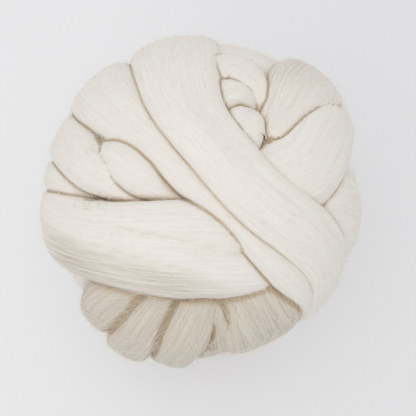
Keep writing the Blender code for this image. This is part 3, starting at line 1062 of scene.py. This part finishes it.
def stretched_noise(tree, place, length, width, detail):
    """Noise drawn out along the rope, with features of that length and width in metres."""
    scale = tree.nodes.new("ShaderNodeCombineXYZ")
    join(tree, scale.inputs[0], math_node(tree, "DIVIDE", 1.0, length))
    join(tree, scale.inputs[1], math_node(tree, "DIVIDE", 1.0, width))
    stretch = tree.nodes.new("ShaderNodeVectorMath")
    stretch.operation = "MULTIPLY"
    join(tree, stretch.inputs[0], place)
    join(tree, stretch.inputs[1], scale.outputs[0])
    noise = tree.nodes.new("ShaderNodeTexNoise")
    noise.noise_dimensions = "2D"
    join(tree, noise.inputs["Vector"], stretch.outputs[0])
    join(tree, noise.inputs["Scale"], 1.0)
    join(tree, noise.inputs["Detail"], detail)
    join(tree, noise.inputs["Roughness"], NOISE_ROUGHNESS)
    join(tree, noise.inputs["Distortion"], NOISE_DISTORTION)
    return noise.outputs[0]


@cache
def fibre_streaks():
    """The group of fine streaks along the rope: masks of two sizes, and a height in metres."""
    group, given, made = new_group(
        "Fibre Streaks",
        (("Streak Length", "NodeSocketFloat", 0.03), ("Streak Width", "NodeSocketFloat", 0.0011),
         ("Hair Length", "NodeSocketFloat", 0.012), ("Hair Width", "NodeSocketFloat", 0.0003)),
        (("Streak", "NodeSocketFloat"), ("Hair", "NodeSocketFloat"), ("Height", "NodeSocketFloat")))
    place = map_place(group, ROPE_MAP)
    streak = stretched_noise(group, place, given.outputs["Streak Length"],
                             given.outputs["Streak Width"], STREAK_DETAIL)
    hair = stretched_noise(group, place, given.outputs["Hair Length"],
                           given.outputs["Hair Width"], HAIR_DETAIL)
    height = math_node(group, "ADD", math_node(group, "MULTIPLY", streak, STREAK_HEIGHT),
                       math_node(group, "MULTIPLY", hair, HAIR_HEIGHT))
    join(group, made.inputs["Streak"], streak)
    join(group, made.inputs["Hair"], hair)
    join(group, made.inputs["Height"], height)
    return group


@cache
def wool_tone():
    """The group of the wool's colour: greyer where coarse or streaked, and painted shade, warm
    where the wool is shut in and tan in its creases.
    """
    group, given, made = new_group(
        "Wool Tone",
        (("Wool", "NodeSocketColor", (1, 1, 1, 1)), ("Shade", "NodeSocketColor", (1, 1, 1, 1)),
         ("Warm", "NodeSocketColor", (1, 1, 1, 1)), ("Crease", "NodeSocketColor", (1, 1, 1, 1)),
         ("Coarse", "NodeSocketColor", (1, 1, 1, 1)), ("Streak", "NodeSocketFloat", 0.5),
         ("Hair", "NodeSocketFloat", 0.5), ("Streak Strength", "NodeSocketFloat", 0.5),
         ("Warm From", "NodeSocketFloat", 0.05), ("Warm To", "NodeSocketFloat", 0.4),
         ("Crease From", "NodeSocketFloat", 0.7), ("Crease To", "NodeSocketFloat", 1.0)),
        (("Colour", "NodeSocketColor"),))
    touch, shut, coarse = (stored_value(group, name) for name in (TOUCH, SHUT, COARSE))
    # Painted shade: warm where partly shut in, tan where passes touch deep in a crease
    part_shade = ramp(group, shut, given.outputs["Warm From"], given.outputs["Warm To"], smooth=True)
    crease_shade = math_node(group, "MULTIPLY", ramp(group, shut, *DEEP_FROM_TO, smooth=True),
                     ramp(group, touch, given.outputs["Crease From"], given.outputs["Crease To"],
                          smooth=True))
    both = math_node(group, "ADD",
                     math_node(group, "MULTIPLY", given.outputs["Streak"], STREAK_SHARE),
                     math_node(group, "MULTIPLY", given.outputs["Hair"], 1 - STREAK_SHARE))
    shade = math_node(group, "MULTIPLY", ramp(group, both, STREAK_LIGHT, STREAK_DARK),
                      given.outputs["Streak Strength"])
    shade = math_node(group, "MULTIPLY", shade,
                      math_node(group, "MULTIPLY_ADD", coarse, COARSE_STREAKS, 1.0))
    wool = mix_colour(group, math_node(group, "MULTIPLY", coarse, COARSE_SHARE),
                      given.outputs["Wool"], given.outputs["Coarse"])
    streaked = mix_colour(group, shade, wool, given.outputs["Shade"])
    part_shaded = mix_colour(group, part_shade, streaked, given.outputs["Warm"])
    join(group, made.inputs["Colour"], mix_colour(group, crease_shade, part_shaded, given.outputs["Crease"]))
    return group


def place_group(tree, group, values):
    """Put a node group in a material, with those values on its inputs."""
    node = tree.nodes.new("ShaderNodeGroup")
    node.node_tree = group
    for label, value in values.items():
        node.inputs[label].default_value = value
    return node


def new_wool(name):
    """A matt wool material with its plain finish set; returns it, its node tree and shader."""
    settings = bpy.context.scene.roving_wool
    material = bpy.data.materials.new(name)
    material.use_nodes = True
    tree = material.node_tree
    shader = tree.nodes["Principled BSDF"]
    finish = {"Roughness": WOOL_ROUGHNESS, "Specular IOR Level": WOOL_SPECULAR,
              "Sheen Weight": settings.sheen, "Sheen Roughness": SHEEN_ROUGHNESS,
              "Sheen Tint": SHEEN_TINT}
    for label, value in finish.items():
        shader.inputs[label].default_value = value
    return material, tree, shader


@cache
def rope_wool(kind):
    """Wool for the rope's passes, with its streaks, painted crease shade and fine relief."""
    settings = bpy.context.scene.roving_wool
    material, tree, shader = new_wool("wool_" + kind)
    look = LOOKS[kind]
    streaks = place_group(tree, fibre_streaks(), {"Streak Length": look.streak_length,
                                                  "Streak Width": look.streak_width})
    tone = place_group(tree, wool_tone(), {
        "Wool": opaque(getattr(settings, look.colour)), "Shade": opaque(settings.shade_colour),
        "Warm": opaque(settings.part_shade_colour), "Crease": opaque(settings.crease_shade_colour),
        "Coarse": opaque(settings.low_coarse_shaded_colour),
        "Streak Strength": look.streak_strength, "Warm From": look.warm_from,
        "Warm To": look.warm_to, "Crease From": look.crease_from, "Crease To": look.crease_to})
    join(tree, tone.inputs["Streak"], streaks.outputs["Streak"])
    join(tree, tone.inputs["Hair"], streaks.outputs["Hair"])
    relief = tree.nodes.new("ShaderNodeBump")
    relief.inputs["Strength"].default_value = settings.relief
    relief.inputs["Distance"].default_value = 1.0
    join(tree, relief.inputs["Height"], streaks.outputs["Height"])
    join(tree, shader.inputs["Base Color"], tone.outputs["Colour"])
    join(tree, shader.inputs["Normal"], relief.outputs[0])
    return material


@cache
def loose_wool():
    """Wool for loose fibres: from the painted crease shade to the fibre's own colour across their bake
    map.
    """
    settings = bpy.context.scene.roving_wool
    material, tree, shader = new_wool("loose_wool")
    split = tree.nodes.new("ShaderNodeSeparateXYZ")
    join(tree, split.inputs[0], map_place(tree, BAKE_MAP))
    tone = mix_colour(tree, split.outputs[0], opaque(settings.crease_shade_colour),
                      opaque(settings.fibre_colour))
    join(tree, shader.inputs["Base Color"], tone)
    return material


def opaque(colour):
    """The colour with full alpha."""
    return (*colour, 1.0)


# The stage
def aim(item, target):
    """Turn a light or a camera towards a place."""
    item.rotation_mode = "QUATERNION"
    item.rotation_quaternion = (item.location - target).to_track_quat("Z", "Y")


def make_floor(settings):
    """A plain pale floor, painted a little darker towards the right as a shadow, that glows with its
    own colour as painted light.
    """
    bpy.ops.mesh.primitive_plane_add(size=FLOOR_SIZE)
    floor = bpy.context.object
    floor.name = "floor"
    material = bpy.data.materials.new("floor")
    material.use_nodes = True
    tree = material.node_tree
    shader = tree.nodes["Principled BSDF"]
    shader.inputs["Roughness"].default_value = FLOOR_ROUGHNESS
    shader.inputs["Specular IOR Level"].default_value = FLOOR_SPECULAR
    place = tree.nodes.new("ShaderNodeTexCoord")
    split = tree.nodes.new("ShaderNodeSeparateXYZ")
    join(tree, split.inputs[0], place.outputs["Object"])
    # Painted shadow: the floor is darker towards the right
    tone = mix_colour(tree, ramp(tree, split.outputs[0], -FLOOR_FADE, FLOOR_FADE, smooth=True),
                      opaque(settings.floor_colour), opaque(settings.floor_shadow_colour))
    join(tree, shader.inputs["Base Color"], tone)
    # Painted light: the floor glows, so that its shadows fade and it lights the ball from below
    join(tree, shader.inputs["Emission Color"], tone)
    shader.inputs["Emission Strength"].default_value = FLOOR_GLOW
    floor.data.materials.append(material)


def make_light(settings):
    """Even light from all round, and a large soft light overhead."""
    world = bpy.data.worlds.new("studio")
    bpy.context.scene.world = world
    world.use_nodes = True
    sky = world.node_tree.nodes["Background"]
    sky.inputs["Color"].default_value = SKY_COLOUR
    sky.inputs["Strength"].default_value = settings.surround
    light = bpy.data.lights.new("overhead", "AREA")
    light.size = OVERHEAD_SIZE
    light.energy = settings.overhead_power
    light.color = OVERHEAD_COLOUR
    lamp = add_object("overhead", light)
    lamp.location = OVERHEAD_PLACE
    aim(lamp, Vector(BALL_MIDDLE) * MM)
    bpy.context.scene.view_settings.view_transform = "Standard"


def make_camera(settings):
    """A camera that looks down at the front of the ball."""
    data = bpy.data.cameras.new("camera")
    data.lens = settings.camera_lens
    data.clip_start = CLIP_START
    camera = add_object("camera", data)
    rise = settings.camera_rise
    back = Vector((0, -math.cos(rise), math.sin(rise)))
    up = Vector((0, math.sin(rise), math.cos(rise)))
    right = Vector((1, 0, 0))
    target = (Vector(FRAMING_MIDDLE) + right * FRAMING_SHIFT[0] + up * FRAMING_SHIFT[1]) * MM
    camera.location = target + back * settings.camera_distance
    aim(camera, target)
    bpy.context.scene.camera = camera


# The operators
class RovingWool(bpy.types.PropertyGroup):
    """The wool's colours and finish."""
    wool_colour: FloatVectorProperty(
        name="Wool", description="Colour of the clean wool", subtype="COLOR", size=3,
        default=(0.865, 0.835, 0.785), min=0, max=1)
    # Painted shade: the low wool's colour is darker partly because shade falls there, and it is coarser
    low_coarse_shaded_colour: FloatVectorProperty(
        name="Low wool", description="Colour of the coarser strands low on the front", subtype="COLOR",
        size=3, default=(0.70, 0.66, 0.57), min=0, max=1)
    shade_colour: FloatVectorProperty(
        name="Streaks", description="Colour of the darker streaks of fibre", subtype="COLOR", size=3,
        default=(0.52, 0.46, 0.37), min=0, max=1)
    # Painted shade where the wool starts to turn in
    part_shade_colour: FloatVectorProperty(
        name="Part shade", description="Colour of the wool where it starts to turn in", subtype="COLOR",
        size=3, default=(0.80, 0.73, 0.62), min=0, max=1)
    # Painted shade deep in creases, and the dark end of the loose fibres' tones
    crease_shade_colour: FloatVectorProperty(
        name="Creases", description="Colour of the wool deep between two passes", subtype="COLOR",
        size=3, default=(0.52, 0.40, 0.26), min=0, max=1)
    fibre_colour: FloatVectorProperty(
        name="Loose fibres", description="Colour of the lightest loose fibres", subtype="COLOR",
        size=3, default=(0.94, 0.92, 0.88), min=0, max=1)
    sheen: FloatProperty(
        name="Sheen", description="How much the fibres catch the light at their edges",
        default=0.12, min=0, max=1, subtype="FACTOR")
    relief: FloatProperty(
        name="Relief", description="How strongly the fine streaks stand out",
        default=0.3, min=0, max=1, subtype="FACTOR")
    loose_fibres: FloatProperty(
        name="Fibre count", description="Share of the usual number of loose fibres",
        default=1.0, min=0, max=1, subtype="FACTOR")


class RovingStage(bpy.types.PropertyGroup):
    """The floor, the light and the camera."""
    floor_colour: FloatVectorProperty(
        name="Floor", description="Colour of the floor", subtype="COLOR", size=3,
        default=(0.42, 0.42, 0.425), min=0, max=1)
    # Painted shadow: the floor is darker to the right
    floor_shadow_colour: FloatVectorProperty(
        name="Floor, right", description="Colour of the floor to the right", subtype="COLOR", size=3,
        default=(0.39, 0.39, 0.396), min=0, max=1)
    surround: FloatProperty(
        name="Surround", description="Strength of the light from all round", default=0.75, min=0)
    overhead_power: FloatProperty(
        name="Overhead", description="Power of the large light overhead", default=4.0, min=0,
        unit="POWER")
    camera_rise: FloatProperty(
        name="Camera height", description="Angle of the camera above the floor",
        default=math.radians(62), subtype="ANGLE", unit="ROTATION")
    camera_distance: FloatProperty(
        name="Camera distance", description="From the camera to the ball", default=0.46,
        unit="LENGTH")
    camera_lens: FloatProperty(
        name="Lens", description="Focal length in millimetres", default=85.0, min=1)


class ROVING_OT_core(bpy.types.Operator):
    """Make the folded wool at the heart of the ball"""
    bl_idname = "roving.core"
    bl_label = "Core"

    def execute(self, context):
        declare(core_object(), rope_wool("low"))
        return {"FINISHED"}


class ROVING_OT_under(bpy.types.Operator):
    """Wind the passes on the underside and low on the sides"""
    bl_idname = "roving.under_passes"
    bl_label = "Underside passes"

    def execute(self, context):
        wind([name for name in wound_rope().passes if name in HIDDEN_NAMES])
        return {"FINISHED"}


class ROVING_OT_outer(bpy.types.Operator):
    """Wind the passes that show"""
    bl_idname = "roving.outer_passes"
    bl_label = "Outer passes"

    def execute(self, context):
        wind([rope.name for rope in OUTER_PASSES])
        return {"FINISHED"}


class ROVING_OT_fibres(bpy.types.Operator):
    """Lay loose fibres along every pass, and short hairs that stand out of it"""
    bl_idname = "roving.loose_fibres"
    bl_label = "Loose fibres"

    def execute(self, context):
        for number, (name, ropes) in enumerate(FIBRE_GROUPS.items()):
            lay_loose(name, fibre_lines, ropes, FIBRE_TONES, FIBRE_RADIUS, SEED + number)
        lay_loose("fuzz", fuzz_lines, wound_rope().passes, FUZZ_TONES, FUZZ_RADIUS, SEED)
        return {"FINISHED"}


class ROVING_OT_tangles(bpy.types.Operator):
    """Lay crimped, tangled fibres in the pockets beside the twisted passes"""
    bl_idname = "roving.tangles"
    bl_label = "Tangles"

    def execute(self, context):
        lay_tangles()
        return {"FINISHED"}


class ROVING_OT_stage(bpy.types.Operator):
    """Set up the floor, the light and the camera"""
    bl_idname = "roving.stage"
    bl_label = "Floor, light and camera"

    def execute(self, context):
        settings = context.scene.roving_stage
        make_floor(settings)
        make_light(settings)
        make_camera(settings)
        return {"FINISHED"}


class ROVING_PT_panel(bpy.types.Panel):
    """Lists the steps that make the ball"""
    bl_idname = "ROVING_PT_panel"
    bl_label = "Wool Roving Ball"
    bl_space_type = "VIEW_3D"
    bl_region_type = "UI"
    bl_category = "Roving"

    def draw(self, context):
        for settings in (context.scene.roving_wool, context.scene.roving_stage):
            column = self.layout.column(align=True)
            for name in settings.bl_rna.properties.keys():
                if name not in {"rna_type", "name"}:
                    column.prop(settings, name)
        for step in STEPS:
            self.layout.operator(step.bl_idname)


STEPS = (ROVING_OT_core, ROVING_OT_under, ROVING_OT_outer, ROVING_OT_fibres, ROVING_OT_tangles,
         ROVING_OT_stage)
CLASSES = (RovingWool, RovingStage, *STEPS, ROVING_PT_panel)


def register():
    """Add the settings, the operators and the panel."""
    for item in CLASSES:
        bpy.utils.register_class(item)
    bpy.types.Scene.roving_wool = PointerProperty(type=RovingWool)
    bpy.types.Scene.roving_stage = PointerProperty(type=RovingStage)


def unregister():
    """Take them away again."""
    del bpy.types.Scene.roving_stage
    del bpy.types.Scene.roving_wool
    for item in reversed(CLASSES):
        bpy.utils.unregister_class(item)


def main():
    """Make the ball and its stage."""
    register()
    bpy.ops.roving.core()
    bpy.ops.roving.under_passes()
    bpy.ops.roving.outer_passes()
    bpy.ops.roving.loose_fibres()
    bpy.ops.roving.tangles()
    bpy.ops.roving.stage()


if __name__ == "__main__":
    main()
